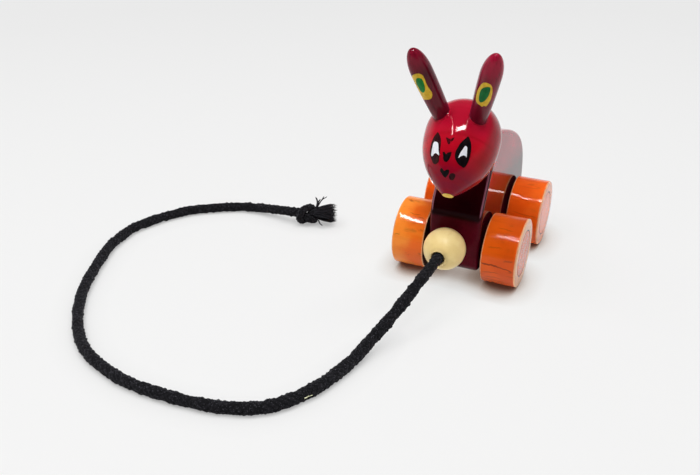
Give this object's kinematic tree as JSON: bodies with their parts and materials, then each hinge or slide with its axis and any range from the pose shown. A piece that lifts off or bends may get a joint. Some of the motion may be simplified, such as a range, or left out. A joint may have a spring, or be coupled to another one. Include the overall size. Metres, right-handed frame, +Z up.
{
  "type": "wheeled pull toy",
  "caption": "Lacquered wooden rabbit on rolling wheelsets, with a turned egg-shaped head, upright ears, and a black cotton pull cord led through a round bead and ending in a knot.",
  "frame": {"origin": "on the floor, under the middle of the toy's box without its cord", "axes": "+Z up, -Y to the front, where the cord leaves, +X along the axles, to the right of a viewer who faces the toy's front"},
  "size_m": [0.2439, 0.2523, 0.1436],
  "materials": {
    "maroon_lacquer": "glossy lacquer on wood",
    "red_lacquer": "glossy translucent lacquer on wood",
    "plum_lacquer": "glossy lacquer on wood",
    "orange_lacquer": "glossy translucent lacquer on wood",
    "cream_lacquer": "glossy lacquer on wood",
    "plain_wood": "bare turned wood",
    "black_cotton": "matt knitted cotton"
  },
  "bodies": {
    "toy": {"body": "maroon_lacquer", "head": "red_lacquer", "neck_dowel": "plain_wood", "left_ear": "plum_lacquer", "right_ear": "plum_lacquer", "pull_cord": "black_cotton", "anchor_knot": "black_cotton", "end_knot": "black_cotton", "frayed_tuft": "black_cotton"},
    "front_wheelset": {"front_axle": "plain_wood", "front_left_wheel": "orange_lacquer", "front_right_wheel": "orange_lacquer"},
    "rear_wheelset": {"rear_axle": "plain_wood", "rear_left_wheel": "orange_lacquer", "rear_right_wheel": "orange_lacquer"},
    "bead": {"pull_bead": "cream_lacquer"}
  },
  "joints": [
    {"name": "front_axle_spin", "type": "hinge", "parent": "toy", "child": "front_wheelset", "pos_m": [0, -0.01885, 0.02], "axis": [1, 0, 0], "continuous": true},
    {"name": "rear_axle_spin", "type": "hinge", "parent": "toy", "child": "rear_wheelset", "pos_m": [0, 0.03645, 0.02], "axis": [1, 0, 0], "continuous": true},
    {"name": "bead_spin", "type": "hinge", "parent": "toy", "child": "bead", "pos_m": [-0.0015, -0.04762, 0.0289], "axis": [0, -1, 0], "continuous": true}
  ]
}
